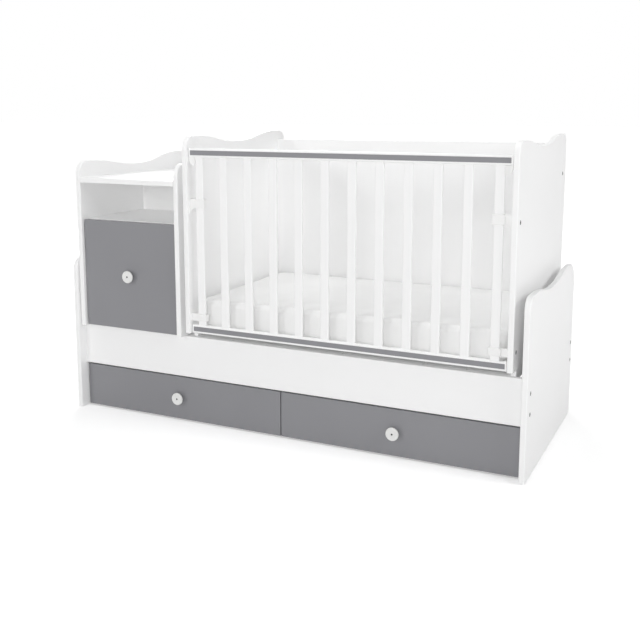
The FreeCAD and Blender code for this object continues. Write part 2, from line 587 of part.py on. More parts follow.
def cupboard():
    """Carcass of the changing cupboard: sides, changing top, niche, floor, back, shelf and stretchers."""
    left_side = wavy_board(
        CUPBOARD_LEFT, CUPBOARD_FRONT, CUPBOARD_BACK, RAIL_TOP, RAIL_TOP + CUPBOARD_FRONT_CREST_RISE,
        RAIL_TOP + CUPBOARD_DIP_RISE, RAIL_TOP + CUPBOARD_BACK_CREST_RISE, BACK_CORNER)
    right_side = left_side.copy()
    right_side.translate(V(CUPBOARD_INNER_WIDTH + BOARD, 0, 0))
    pins = []
    pin_z = SHELF_Z - SHELF_PIN_RADIUS
    shelf_front = CASE_FRONT + SHELF_SETBACK
    for pin_y in (shelf_front + SHELF_PIN_INSET, NICHE_BACK_Y - SHELF_PIN_INSET):
        left_start = (CUPBOARD_INNER_LEFT - SHELF_PIN_BITE, pin_y, pin_z)
        right_start = (CUPBOARD_INNER_RIGHT + SHELF_PIN_BITE, pin_y, pin_z)
        pins.append(rod(left_start, V(1, 0, 0), SHELF_PIN_RADIUS, SHELF_PIN_LENGTH))
        pins.append(rod(right_start, V(-1, 0, 0), SHELF_PIN_RADIUS, SHELF_PIN_LENGTH))
    for pin in pins:
        left_side = left_side.cut(pin)
        right_side = right_side.cut(pin)
    save("cupboard_left_side", left_side)
    save("cupboard_right_side", right_side)
    save("shelf_pins", *pins)

    inner_left = CUPBOARD_INNER_LEFT
    inner_right = CUPBOARD_INNER_RIGHT
    low = (inner_left, CUPBOARD_FRONT, NICHE_TOP)
    save("changing_top", board(low, (inner_right, CUPBOARD_BACK, CHANGING_TOP_Z)))
    low = (inner_left, CASE_FRONT, NICHE_FLOOR_TOP - BOARD)
    save("niche_floor", box(low, (inner_right, NICHE_BACK_Y, NICHE_FLOOR_TOP)))
    low = (inner_left, NICHE_BACK_Y, RAIL_TOP)
    save("cupboard_back", box(low, (inner_right, NICHE_BACK_Y + CUPBOARD_BACK_THICK, NICHE_TOP)))
    low = (inner_left, CASE_FRONT, RAIL_TOP)
    save("cupboard_floor", box(low, (inner_right, NICHE_BACK_Y, RAIL_TOP + BOARD)))
    low = (inner_left + SHELF_CLEARANCE, shelf_front, SHELF_Z)
    high = (inner_right - SHELF_CLEARANCE, NICHE_BACK_Y - SHELF_CLEARANCE, SHELF_Z + SHELF_THICK)
    save("cupboard_shelf", board(low, high))
    stretchers = []
    for z_low in (RAIL_TOP, NICHE_TOP - STRETCHER_HEIGHT):
        low = (inner_left, BACK_RAIL_INNER, z_low)
        stretchers.append(box(low, (inner_right, BACK_RAIL_OUTER, z_low + STRETCHER_HEIGHT)))
    save("cupboard_rear_stretchers", *stretchers)


def cupboard_door():
    """Inset door on two concealed hinges whose arms turn in pockets at the back of its left edge."""
    door = box((DOOR_LEFT, DOOR_FRONT, DOOR_BOTTOM), (DOOR_RIGHT, DOOR_BACK, DOOR_TOP))
    door = door.makeFillet(DOOR_EDGE_ROUND, door.Edges)
    knob_body, screw, hole = knob((DOOR_LEFT + DOOR_RIGHT) / 2, DOOR_FRONT, (DOOR_BOTTOM + DOOR_TOP) / 2)
    door = door.cut(hole)
    half = HINGE_ARM_HEIGHT / 2
    pocket_half = half + HINGE_POCKET_CLEARANCE
    pocket_front = HINGE_Y - HINGE_BARREL_RADIUS - HINGE_POCKET_FRONT_CLEARANCE
    pocket_right = HINGE_X + HINGE_BARREL_RADIUS + HINGE_POCKET_CLEARANCE
    arm_front = DOOR_BACK + HINGE_ARM_GAP
    plate_front = DOOR_BACK + HINGE_PLATE_SETBACK
    plate_right = CUPBOARD_INNER_LEFT + HINGE_PLATE_THICK
    arms = []
    pins = []
    for z in (DOOR_BOTTOM + HINGE_INSET, DOOR_TOP - HINGE_INSET):
        low = (DOOR_LEFT - OVERRUN, pocket_front, z - pocket_half)
        door = door.cut(box(low, (pocket_right, DOOR_BACK + OVERRUN, z + pocket_half)))
        reach = pocket_half + HINGE_PIN_BITE
        seat = HINGE_PIN_RADIUS + HINGE_PIN_SEAT_CLEARANCE
        door = door.cut(rod((HINGE_X, HINGE_Y, z - reach), V(0, 0, 1), seat, reach * 2))
        pins.append(rod((HINGE_X, HINGE_Y, z - reach), V(0, 0, 1), HINGE_PIN_RADIUS, reach * 2))
        arm = rod((HINGE_X, HINGE_Y, z - half), V(0, 0, 1), HINGE_BARREL_RADIUS, HINGE_ARM_HEIGHT)
        low = (HINGE_X - HINGE_NECK / 2, HINGE_Y, z - half)
        arm = arm.fuse(box(low, (HINGE_X + HINGE_NECK / 2, arm_front, z + half)))
        low = (plate_right, arm_front, z - half)
        arm = arm.fuse(box(low, (plate_right + HINGE_ARM_WIDTH, arm_front + HINGE_ARM_LENGTH, z + half)))
        low = (CUPBOARD_INNER_LEFT, plate_front, z - HINGE_PLATE_HEIGHT / 2)
        high = (plate_right, plate_front + HINGE_PLATE_LENGTH, z + HINGE_PLATE_HEIGHT / 2)
        arm = arm.fuse(box(low, high))
        bore = HINGE_PIN_RADIUS + HINGE_PIN_RUNNING_CLEARANCE
        arm = arm.cut(rod((HINGE_X, HINGE_Y, z - reach), V(0, 0, 1), bore, reach * 2))
        arms.append(arm.removeSplitter())
    save("cupboard_door", door)
    save("door_knob", knob_body)
    save("door_knob_screw", screw)
    save("door_hinge_pins", *pins)
    save("hinge_arms", *arms)


def sliding_side():
    """Slatted front side of the crib, with an inlaid stripe along each rail and a catch at each end."""
    slats = []
    slat_low = CRIB_BOTTOM + SIDE_RAIL_HEIGHT - SIDE_SLAT_TENON
    slat_high = SIDE_TOP - SIDE_RAIL_HEIGHT + SIDE_SLAT_TENON
    for index in range(SIDE_SLATS):
        slat_left = FIRST_SLAT_LEFT + SIDE_SLAT_PITCH * index
        low = (slat_left, SIDE_SLAT_FRONT, slat_low)
        slat = box(low, (slat_left + SIDE_SLAT_WIDTH, SIDE_SLAT_BACK, slat_high))
        slats.append(slat.makeFillet(SIDE_SLAT_ROUND, edges_along(slat, V(0, 0, 1))))
    save("side_slats", *slats)
    mortises = Part.makeCompound(slats)
    for name, rail_low in (("top", SIDE_TOP - SIDE_RAIL_HEIGHT), ("bottom", CRIB_BOTTOM)):
        rail = box((SIDE_LEFT, SIDE_FRONT, rail_low), (SIDE_RIGHT, SIDE_BACK, rail_low + SIDE_RAIL_HEIGHT))
        rail = rail.makeFillet(SIDE_RAIL_ROUND, edges_along(rail, V(1, 0, 0)))
        stripe_low = rail_low + (SIDE_RAIL_HEIGHT - STRIPE_HEIGHT) / 2
        low = (SIDE_LEFT + STRIPE_END_GAP, SIDE_FRONT, stripe_low)
        high = (SIDE_RIGHT - STRIPE_END_GAP, SIDE_FRONT + STRIPE_DEPTH, stripe_low + STRIPE_HEIGHT)
        stripe = box(low, high)
        save("side_" + name + "_rail", rail.cut(stripe).cut(mortises))
        save("side_" + name + "_stripe", stripe)

    rail_low = SIDE_TOP - SIDE_RAIL_HEIGHT
    catch_right = FIRST_SLAT_LEFT - CATCH_SLAT_GAP
    radius = catch_right - SIDE_LEFT
    catch_front = SIDE_FRONT + (SIDE_THICK - CATCH_THICK) / 2
    outer_low = V(SIDE_LEFT, catch_front, rail_low - CATCH_LIP)
    inner_low = V(catch_right, catch_front, rail_low - CATCH_HEIGHT)
    sweep = V(SIDE_LEFT + radius * (1 - math.sqrt(0.5)), catch_front,
              rail_low - CATCH_LIP - (CATCH_HEIGHT - CATCH_LIP) * math.sqrt(0.5))
    outline = Part.Wire([
        Part.makeLine(V(SIDE_LEFT, catch_front, rail_low), outer_low),
        Part.Arc(outer_low, sweep, inner_low).toShape(),
        Part.makeLine(inner_low, V(catch_right, catch_front, rail_low)),
        Part.makeLine(V(catch_right, catch_front, rail_low), V(SIDE_LEFT, catch_front, rail_low)),
    ])
    catch = Part.Face(outline).extrude(V(0, CATCH_THICK, 0))
    save("side_catches", catch, mirrored(catch))


def side_guide(z_low, height, gusset):
    """A plastic guide on the left crib end: a collar round the end slat and a bolted plate, with a web
    between them whose underside sweeps down to the plate over the gusset's radius."""
    collar_right = FIRST_SLAT_RIGHT + GUIDE_CLEARANCE + GUIDE_WALL
    collar_front = SIDE_SLAT_FRONT - GUIDE_CLEARANCE - GUIDE_WALL
    collar_back = SIDE_SLAT_BACK + GUIDE_CLEARANCE + GUIDE_WALL
    z_high = z_low + height
    foot = z_low - gusset
    collar = box((GUIDE_COLLAR_LEFT, collar_front, z_low), (collar_right, collar_back, z_high))
    collar = collar.makeFillet(GUIDE_ROUND, collar.Edges)
    web_right = GUIDE_COLLAR_LEFT + GUIDE_ROUND * 2
    web = box((CRIB_INNER_LEFT, SIDE_SLAT_FRONT, foot), (GUIDE_COLLAR_LEFT, SIDE_SLAT_BACK, z_high))
    if gusset > 0:
        arch_start = (GUIDE_COLLAR_LEFT, collar_front, foot)
        web = web.cut(rod(arch_start, V(0, 1, 0), gusset, collar_back - collar_front))
    neck = box((GUIDE_COLLAR_LEFT, SIDE_SLAT_FRONT, z_low), (web_right, SIDE_SLAT_BACK, z_high))
    low = (CRIB_INNER_LEFT, SIDE_SLAT_FRONT, foot)
    plate = box(low, (CRIB_INNER_LEFT + GUIDE_PLATE, SIDE_SLAT_FRONT + GUIDE_PLATE_DEPTH, z_high))
    plate = plate.makeFillet(GUIDE_ROUND, edges_along(plate, V(1, 0, 0)))
    guide = collar.fuse(web).fuse(neck).fuse(plate)
    low = (FIRST_SLAT_LEFT - GUIDE_CLEARANCE, SIDE_SLAT_FRONT - GUIDE_CLEARANCE, z_low - OVERRUN)
    high = (FIRST_SLAT_RIGHT + GUIDE_CLEARANCE, SIDE_SLAT_BACK + GUIDE_CLEARANCE, z_high + OVERRUN)
    return guide.cut(box(low, high)).removeSplitter()


def crib():
    """Fixed pieces of the crib: ends, back, mattress base and its battens, guides, bolts and bearers."""
    left_end = wavy_board(
        CRIB_LEFT, CRIB_FRONT, CRIB_BACK, CRIB_BOTTOM, CRIB_BOTTOM + CRIB_FRONT_CREST_RISE,
        CRIB_BOTTOM + CRIB_DIP_RISE, CRIB_BOTTOM + CRIB_BACK_CREST_RISE, BACK_CORNER)
    low = (CRIB_INNER_LEFT, CRIB_BACK_PANEL_Y, CRIB_BOTTOM)
    back_panel = board(low, (CRIB_INNER_RIGHT, CRIB_BACK_PANEL_Y + BOARD, CRIB_BACK_PANEL_TOP))

    guides = {}
    guide_bolts = []
    for name, z_low, height, gusset in (
        ("upper_guides", CRIB_BOTTOM + UPPER_GUIDE_RISE, UPPER_GUIDE_HEIGHT, GUIDE_REACH),
        ("lower_guides", CRIB_BOTTOM + LOWER_GUIDE_RISE, LOWER_GUIDE_HEIGHT, 0),
    ):
        point = V(CRIB_LEFT, SIDE_SLAT_FRONT + GUIDE_BOLT_SETBACK, z_low + (height - gusset) / 2)
        grip = BOARD + GUIDE_PLATE - GUIDE_BOLT_COVER
        guide_bolts.append(bolt(point, V(1, 0, 0), grip))
        hole = bolt_hole(point, V(1, 0, 0), grip)
        left_end = left_end.cut(hole)
        guides[name] = side_guide(z_low, height, gusset).cut(hole)
    back_bolts = []
    for z in (CRIB_BACK_PANEL_TOP - BACK_BOLT_TOP_DROP, CRIB_BOTTOM + BACK_BOLT_BOTTOM_RISE):
        point = V(CRIB_LEFT, CRIB_BACK_PANEL_Y + BOARD / 2, z)
        back_bolts.append(bolt(point, V(1, 0, 0), BOARD + BOLT_GRIP))
        hole = bolt_hole(point, V(1, 0, 0), BOARD + BOLT_GRIP)
        left_end = left_end.cut(hole)
        back_panel = back_panel.cut(hole).cut(mirrored(hole))

    low = (BEARER_LEFT, RAIL_INNER + BEARER_END_GAP, CLEAT_TOP)
    bearer = box(low, (BEARER_LEFT + BEARER_WIDTH, BACK_RAIL_INNER - BEARER_END_GAP, CRIB_BOTTOM))
    dowels = []
    for y in (CRIB_FRONT + DOWEL_INSET, CRIB_BACK - DOWEL_INSET):
        foot = (CRIB_LEFT + BOARD / 2, y, CRIB_BOTTOM - DOWEL_LENGTH / 2)
        dowels.append(rod(foot, V(0, 0, 1), DOWEL_RADIUS, DOWEL_LENGTH))
        socket_foot = (foot[0], y, foot[2] - DOWEL_CLEARANCE)
        socket_length = DOWEL_LENGTH + DOWEL_CLEARANCE * 2
        socket = rod(socket_foot, V(0, 0, 1), DOWEL_RADIUS + DOWEL_CLEARANCE, socket_length)
        bearer = bearer.cut(socket)
        left_end = left_end.cut(socket)

    save("crib_left_end", left_end)
    save("crib_right_end", mirrored(left_end))
    save("crib_back_panel", back_panel)
    for name, guide in guides.items():
        save(name, guide, mirrored(guide))
    save("guide_bolts", *guide_bolts, *[mirrored(piece) for piece in guide_bolts])
    save("crib_back_bolts", *back_bolts, *[mirrored(piece) for piece in back_bolts])
    save("crib_bearers", bearer, mirrored(bearer))
    save("crib_dowels", *dowels, *[mirrored(dowel) for dowel in dowels])
    mattress_base()


def mattress_base():
    """Ventilated board under the mattress, with the stretcher and battens that carry it."""
    back = CRIB_BACK_PANEL_Y
    batten_back = back - CRIB_CLEAT_WIDTH
    stretcher_back = STRETCHER_FRONT + CRIB_CLEAT_WIDTH
    low = (CRIB_INNER_LEFT, STRETCHER_FRONT, CRIB_BOTTOM)
    save("crib_front_stretcher", box(low, (CRIB_INNER_RIGHT, stretcher_back, CRIB_CLEAT_TOP)))
    battens = [box((CRIB_INNER_LEFT, batten_back, CRIB_BOTTOM), (CRIB_INNER_RIGHT, back, CRIB_CLEAT_TOP))]
    inner_left = CRIB_INNER_LEFT + CRIB_CLEAT_WIDTH / 2
    inner_right = CRIB_INNER_RIGHT - CRIB_CLEAT_WIDTH / 2
    middles = spread(inner_left + CRIB_CLEAT_WIDTH / 2, inner_right - CRIB_CLEAT_WIDTH / 2, CROSS_BATTENS)
    for middle in [inner_left] + middles + [inner_right]:
        low = (middle - CRIB_CLEAT_WIDTH / 2, stretcher_back, CRIB_BOTTOM)
        battens.append(box(low, (middle + CRIB_CLEAT_WIDTH / 2, batten_back, CRIB_CLEAT_TOP)))
    save("crib_battens", *battens)

    left = CRIB_INNER_LEFT + BASE_BOARD_CLEARANCE
    right = CRIB_INNER_RIGHT - BASE_BOARD_CLEARANCE
    base = box((left, STRETCHER_FRONT, CRIB_CLEAT_TOP), (right, back - BASE_BOARD_CLEARANCE, BASE_BOARD_TOP))
    holes = []
    for x in spread(left, right, BASE_HOLE_COLUMNS):
        for y in spread(stretcher_back, batten_back, BASE_HOLE_ROWS):
            start = (x, y, CRIB_CLEAT_TOP - OVERRUN)
            holes.append(rod(start, V(0, 0, 1), BASE_HOLE_RADIUS, BASE_BOARD_THICK + OVERRUN * 2))
    save("mattress_base", base.cut(Part.makeCompound(holes)))


def mattress_section(inset, z):
    """One level outline of the mattress: round corners and sides drawn in between them."""
    left = CRIB_INNER_LEFT + MATTRESS_END_CLEARANCE + inset
    right = CRIB_INNER_RIGHT - MATTRESS_END_CLEARANCE - inset
    front = SIDE_BACK + MATTRESS_FRONT_CLEARANCE + inset
    back = CRIB_BACK_PANEL_Y - MATTRESS_BACK_CLEARANCE - inset
    corner = MATTRESS_CORNER - inset
    chord = corner * (1 - math.sqrt(0.5))
    middle_x = (left + right) / 2
    middle_y = (front + back) / 2

    def arc(start, middle, end):
        return Part.Arc(V(*start, z), V(*middle, z), V(*end, z)).toShape()

    return Part.Wire([
        arc((left + corner, front), (middle_x, front + MATTRESS_DRAW_IN), (right - corner, front)),
        arc((right - corner, front), (right - chord, front + chord), (right, front + corner)),
        arc((right, front + corner), (right - MATTRESS_DRAW_IN, middle_y), (right, back - corner)),
        arc((right, back - corner), (right - chord, back - chord), (right - corner, back)),
        arc((right - corner, back), (middle_x, back - MATTRESS_DRAW_IN), (left + corner, back)),
        arc((left + corner, back), (left + chord, back - chord), (left, back - corner)),
        arc((left, back - corner), (left + MATTRESS_DRAW_IN, middle_y), (left, front + corner)),
        arc((left, front + corner), (left + chord, front + chord), (left + corner, front)),
    ])


def mattress():
    """Crib mattress: a stack of outlines with a waist between two welts, under a crowned top."""
    bottom = BASE_BOARD_TOP
    top = bottom + MATTRESS_THICK
    waist = (bottom + top) / 2
    sections = [
        mattress_section(MATTRESS_EDGE, bottom),
        mattress_section(MATTRESS_WELT / 2, bottom + MATTRESS_EDGE / 2),
        mattress_section(0, bottom + MATTRESS_EDGE),
        mattress_section(MATTRESS_WELT, waist),
        mattress_section(0, top - MATTRESS_EDGE),
        mattress_section(MATTRESS_WELT / 2, top - MATTRESS_EDGE / 2),
        mattress_section(MATTRESS_EDGE, top),
    ]
    body = Part.makeLoft(sections, True, True)
    half_depth = (CRIB_BACK_PANEL_Y - SIDE_BACK) / 2
    crown_radius = (half_depth ** 2 + MATTRESS_CROWN ** 2) / (2 * MATTRESS_CROWN)
    axis_start = (CRIB_INNER_LEFT, (CRIB_BACK_PANEL_Y + SIDE_BACK) / 2, top - crown_radius)
    crown = rod(axis_start, V(1, 0, 0), crown_radius, CRIB_INNER_LENGTH)
    save("mattress", body.common(crown))


def main():
    os.makedirs("parts", exist_ok=True)
    bed_base()
    drawer("left", LEFT + BOARD + DRAWER_END_GAP, -DRAWER_END_GAP / 2)
    drawer("right", DRAWER_END_GAP / 2, RIGHT - BOARD - DRAWER_END_GAP)
    cupboard()
    cupboard_door()
    crib()
    sliding_side()
    mattress()


main()
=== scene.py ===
import json
import math

import bmesh
import bpy
from mathutils import Euler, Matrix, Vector, noise


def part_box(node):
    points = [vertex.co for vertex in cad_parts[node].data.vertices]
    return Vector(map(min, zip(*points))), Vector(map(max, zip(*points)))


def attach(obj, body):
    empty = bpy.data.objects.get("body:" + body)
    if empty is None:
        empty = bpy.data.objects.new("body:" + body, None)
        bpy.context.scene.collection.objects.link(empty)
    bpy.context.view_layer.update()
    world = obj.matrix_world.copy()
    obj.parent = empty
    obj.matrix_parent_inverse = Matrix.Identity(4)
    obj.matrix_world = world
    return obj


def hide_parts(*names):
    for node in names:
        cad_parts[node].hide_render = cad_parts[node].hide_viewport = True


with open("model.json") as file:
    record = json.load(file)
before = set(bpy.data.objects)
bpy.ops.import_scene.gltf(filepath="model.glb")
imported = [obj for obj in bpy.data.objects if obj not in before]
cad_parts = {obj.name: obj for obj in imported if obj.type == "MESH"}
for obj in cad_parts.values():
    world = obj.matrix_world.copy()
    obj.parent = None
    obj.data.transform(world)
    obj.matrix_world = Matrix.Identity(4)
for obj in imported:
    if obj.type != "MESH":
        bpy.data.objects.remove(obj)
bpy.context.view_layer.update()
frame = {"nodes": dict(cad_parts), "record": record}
nodes = frame["nodes"]
slot_of = {entry["node"]: entry["material_slot"] for entry in frame["record"]["subparts"]}

# Camera of the photograph: place in metres, angles in degrees, lens and sensor in millimetres,
# and the picture's shift as a share of its width
CAMERA_PLACE = (1.3401, -2.8247, 1.0779)
CAMERA_DOWN = 8.878
CAMERA_LEFT = 25.465
CAMERA_LENS = 50.20
CAMERA_SENSOR = 36.0
CAMERA_SHIFT = -0.1094

# Lamps: place, aim, width and height in metres, and power in watts
LAMPS = {
    "front": ((1.6, -5.7, 1.4), (-0.2, 0, 0.65), 3.2, 1.6, 90),
    "left": ((-2.6, -4.4, 2.2), (0, 0, 0.5), 0.6, 0.6, 46),
    "right": ((3.8, -0.85, 2.35), (0.2, 0, 0.6), 2.4, 1.6, 62),
    "top": ((-0.5, -0.1, 3.7), (-0.2, 0, 0.5), 2.6, 2.2, 44),
    "back": ((-2.6, 4.4, 2.2), (0, 0, 0.5), 2.6, 1.8, 105),
}

# Surround: its light on the object, its strength as seen, and the bounces that white boards need
PURE_WHITE = (1, 1, 1, 1)
WORLD_LIGHT = 0.2
WORLD_SEEN = 1.0
LIGHT_BOUNCES = 20

# Floor: half width in metres, paint, and a glow that only the camera and reflections see. The glow grows
# between two distances from the middle, so that the object's shadow stays and the horizon doesn't show.
FLOOR_HALF = 60.0
FLOOR_COLOUR = (0.86, 0.86, 0.86, 1)
FLOOR_ROUGHNESS = 0.9
FLOOR_SPECULAR = 0.1
GLOW_START = 1.0
GLOW_END = 3.5
GLOW_NEAR = 0.36
GLOW_FAR = 0.82

# Mattress cover, in metres: room left for the swell, cells of its mesh along x, y and z, round corner
# in plan, round lower and upper edge, how far the sides are drawn in, and the fall of the top to its rim
COVER_ROOM = (0.004, 0.0015, 0.002)
COVER_CELLS = (88, 50, 8)
COVER_CORNER = 0.045
COVER_EDGES = (0.005, 0.012)
COVER_DRAW_IN = 0.003
COVER_RIM_FALL = 0.004

# Cloth of the cover: steps, the most that a point may move in metres, and its settings
CLOTH_STEPS = 20
CLOTH_REACH = 0.004
CLOTH_SETTINGS = {
    "quality": 5, "mass": 0.3, "tension_stiffness": 18, "compression_stiffness": 12, "bending_stiffness": 0.4,
    "use_pressure": True, "uniform_pressure_force": 3.5,
}

# Creases of the cover: height in metres, waves per metre of the long ones along x and y and of the short
# ones, the share of the cover's height where they start and how fast they grow from there
CREASE_HEIGHT = 0.0022
CREASE_LONG_X = 9
CREASE_LONG_Y = 13
CREASE_LONG_LEVEL = 3.1
CREASE_SHORT = 31
CREASE_SHORT_SHARE = 0.5
CREASE_START_SHARE = 0.3
CREASE_GROWTH = 2


def new_material(name):
    """A new material, with its node tree and its surface shader."""
    material = bpy.data.materials.new(name)
    material.use_nodes = True
    tree = material.node_tree
    return material, tree, tree.nodes["Principled BSDF"]


def add(tree, kind, **settings):
    """A new node of a kind, with its settings."""
    node = tree.nodes.new(kind)
    for key, value in settings.items():
        setattr(node, key, value)
    return node


def stretched_noise(tree, scale, stretch=(1, 1, 1), detail=3.0, roughness=0.55):
    """Noise in the object's own space, drawn out along the axes with a small stretch."""
    coordinates = add(tree, "ShaderNodeTexCoord")
    mapping = add(tree, "ShaderNodeMapping")
    mapping.inputs["Scale"].default_value = stretch
    tree.links.new(coordinates.outputs["Object"], mapping.inputs["Vector"])
    texture = add(tree, "ShaderNodeTexNoise")
    texture.inputs["Scale"].default_value = scale
    texture.inputs["Detail"].default_value = detail
    texture.inputs["Roughness"].default_value = roughness
    tree.links.new(mapping.outputs["Vector"], texture.inputs["Vector"])
    return texture.outputs["Fac"]


def ramp(tree, source, stops, socket):
    """Sends a texture's value through a colour ramp into a socket."""
    node = add(tree, "ShaderNodeValToRGB")
    elements = node.color_ramp.elements
    while len(elements) < len(stops):
        elements.new(position=0.5)
    for element, (position, colour) in zip(elements, stops):
        element.position = position
        element.color = (*colour, 1.0)
    tree.links.new(source, node.inputs["Fac"])
    tree.links.new(node.outputs["Color"], socket)


def two_tones(tree, source, dark, light, socket, low=0.3, high=0.7):
    """A colour that passes from dark to light over the middle of a noise's range."""
    ramp(tree, source, ((low, dark), (high, light)), socket)


def spread(tree, source, low, high, socket, start=0.0, end=1.0):
    """Maps a value between start and end onto a range."""
    node = add(tree, "ShaderNodeMapRange")
    node.inputs["From Min"].default_value = start
    node.inputs["From Max"].default_value = end
    node.inputs["To Min"].default_value = low
    node.inputs["To Max"].default_value = high
    tree.links.new(source, node.inputs["Value"])
    tree.links.new(node.outputs["Result"], socket)


def bump(tree, shader, source, strength, distance, under=None):
    """Relief from a texture, over another relief where one is given."""
    node = add(tree, "ShaderNodeBump")
    node.inputs["Strength"].default_value = strength
    node.inputs["Distance"].default_value = distance
    tree.links.new(source, node.inputs["Height"])
    if under is not None:
        tree.links.new(under.outputs["Normal"], node.inputs["Normal"])
    tree.links.new(node.outputs["Normal"], shader.inputs["Normal"])
    return node


def board_material(name, dark, light, rough_low, rough_high):
    """Melamine-faced board: a fine pearl in the foil and a faint cloud in its colour and gloss."""
    material, tree, shader = new_material(name)
    two_tones(tree, stretched_noise(tree, scale=2.6, detail=4.0), dark, light, shader.inputs["Base Color"])
    gloss = stretched_noise(tree, scale=7.0, detail=5.0)
    spread(tree, gloss, rough_low, rough_high, shader.inputs["Roughness"])
    bump(tree, shader, stretched_noise(tree, scale=950.0, detail=2.0), strength=0.06, distance=0.0003)
    shader.inputs["Specular IOR Level"].default_value = 0.42
    return material


def plastic_material(name, dark, light, rough, rough_spread=0.05):
    """Moulded plastic: even colour with a fine spark-eroded texture."""
    material, tree, shader = new_material(name)
    cloud = stretched_noise(tree, scale=30.0)
    two_tones(tree, cloud, dark, light, shader.inputs["Base Color"], low=0.35, high=0.65)
    grain = stretched_noise(tree, scale=2200.0, detail=2.0)
    spread(tree, grain, rough - rough_spread, rough + rough_spread, shader.inputs["Roughness"])
    bump(tree, shader, grain, strength=0.08, distance=0.0002)
    return material


def metal_material(name, dark, light, rough, metallic, stretch, rough_spread=0.08):
    """Plated or blackened steel with fine drawn lines."""
    material, tree, shader = new_material(name)
    lines = stretched_noise(tree, 600.0, stretch, detail=2.0)
    two_tones(tree, lines, dark, light, shader.inputs["Base Color"])
    spread(tree, lines, rough - rough_spread, rough + rough_spread, shader.inputs["Roughness"])
    bump(tree, shader, lines, strength=0.1, distance=0.0002)
    shader.inputs["Metallic"].default_value = metallic
    return material


def softwood_material(name):
    """Planed softwood with its grain along z."""
    material, tree, shader = new_material(name)
    grain = (1.0, 1.0, 0.06)
    figure = stretched_noise(tree, 26.0, grain, detail=6.0, roughness=0.6)
    late, middle, early = (0.50, 0.34, 0.19), (0.68, 0.50, 0.31), (0.76, 0.60, 0.41)
    ramp(tree, figure, ((0.3, late), (0.48, middle), (0.7, early)), shader.inputs["Base Color"])
    pores = stretched_noise(tree, 420.0, grain, detail=3.0)
    spread(tree, pores, low=0.5, high=0.68, socket=shader.inputs["Roughness"])
    bump(tree, shader, pores, strength=0.25, distance=0.0004)
    return material


def fabric_material(name, dark, light):
    """Knitted mattress cover: small rows of loops over a soft cloud of shade."""
    material, tree, shader = new_material(name)
    coordinates = add(tree, "ShaderNodeTexCoord")
    loops = add(tree, "ShaderNodeTexVoronoi", feature="SMOOTH_F1")
    loops.inputs["Scale"].default_value = 520.0
    loops.inputs["Smoothness"].default_value = 0.6
    tree.links.new(coordinates.outputs["Object"], loops.inputs["Vector"])
    two_tones(tree, stretched_noise(tree, scale=9.0, detail=4.0), dark, light, shader.inputs["Base Color"])
    folds = stretched_noise(tree, 38.0, (1.0, 0.55, 1.0), detail=4.0)
    soft = bump(tree, shader, folds, strength=0.22, distance=0.004)
    bump(tree, shader, loops.outputs["Distance"], strength=0.35, distance=0.0012, under=soft)
    shader.inputs["Roughness"].default_value = 0.92
    shader.inputs["Sheen Weight"].default_value = 0.25
    shader.inputs["Sheen Roughness"].default_value = 0.5
    return material


# Dark and light tone, then roughness, and for metal its share of metal and the stretch of its lines
WHITE = board_material("white_melamine", (0.94, 0.94, 0.94), (0.955, 0.955, 0.955), 0.34, 0.46)
GREY = board_material("grey_melamine", (0.249, 0.249, 0.264), (0.263, 0.263, 0.278), 0.36, 0.48)
HARD = board_material("white_hardboard", (0.935, 0.935, 0.933), (0.95, 0.95, 0.948), 0.42, 0.55)
PLASTIC = plastic_material("white_plastic", (0.905, 0.905, 0.90), (0.925, 0.925, 0.92), 0.34)
KNOB = plastic_material("knob_plastic", (0.80, 0.80, 0.79), (0.83, 0.83, 0.82), 0.34)
WHEEL = plastic_material("wheel_plastic", (0.10, 0.10, 0.105), (0.13, 0.13, 0.135), 0.5)
DARK = metal_material("dark_steel", (0.030, 0.030, 0.032), (0.055, 0.055, 0.057), 0.4, 0.7, (1, 1, 1))
ZINC = metal_material("zinc_steel", (0.52, 0.53, 0.54), (0.64, 0.65, 0.66), 0.34, 1.0, (1, 0.2, 1))
WOOD = softwood_material("softwood")
FABRIC = fabric_material("mattress_cover", (0.88, 0.88, 0.876), (0.915, 0.915, 0.911))
BY_SLOT = {
    "white_board": WHITE, "grey_board": GREY, "white_hardboard": HARD, "white_plastic": PLASTIC,
    "wheel_plastic": WHEEL, "dark_steel": DARK, "zinc_steel": ZINC, "raw_wood": WOOD,
    "mattress_fabric": FABRIC,
}


def dress(obj, material):
    """One material on every face of an object."""
    obj.data.materials.clear()
    obj.data.materials.append(material)


for node_name, node_object in nodes.items():
    dress(node_object, KNOB if node_name.endswith("_knob") else BY_SLOT[slot_of[node_name]])


def lattice_box(low, high, cells):
    """A closed box of square cells, one vertex per place."""
    mesh = bmesh.new()
    made = {}

    def vertex(i, j, k):
        if (i, j, k) not in made:
            share = (i / cells[0], j / cells[1], k / cells[2])
            place = [low[a] + (high[a] - low[a]) * share[a] for a in range(3)]
            made[i, j, k] = mesh.verts.new(place)
        return made[i, j, k]

    for axis in range(3):
        first, second = [a for a in range(3) if a != axis]
        for level in (0, cells[axis]):
            for i in range(cells[first]):
                for j in range(cells[second]):
                    ring = []
                    for di, dj in ((0, 0), (1, 0), (1, 1), (0, 1)):
                        index = [0, 0, 0]
                        index[axis] = level
                        index[first] = i + di
                        index[second] = j + dj
                        ring.append(vertex(*index))
                    mesh.faces.new(ring)
    bmesh.ops.recalc_face_normals(mesh, faces=mesh.faces)
    return mesh


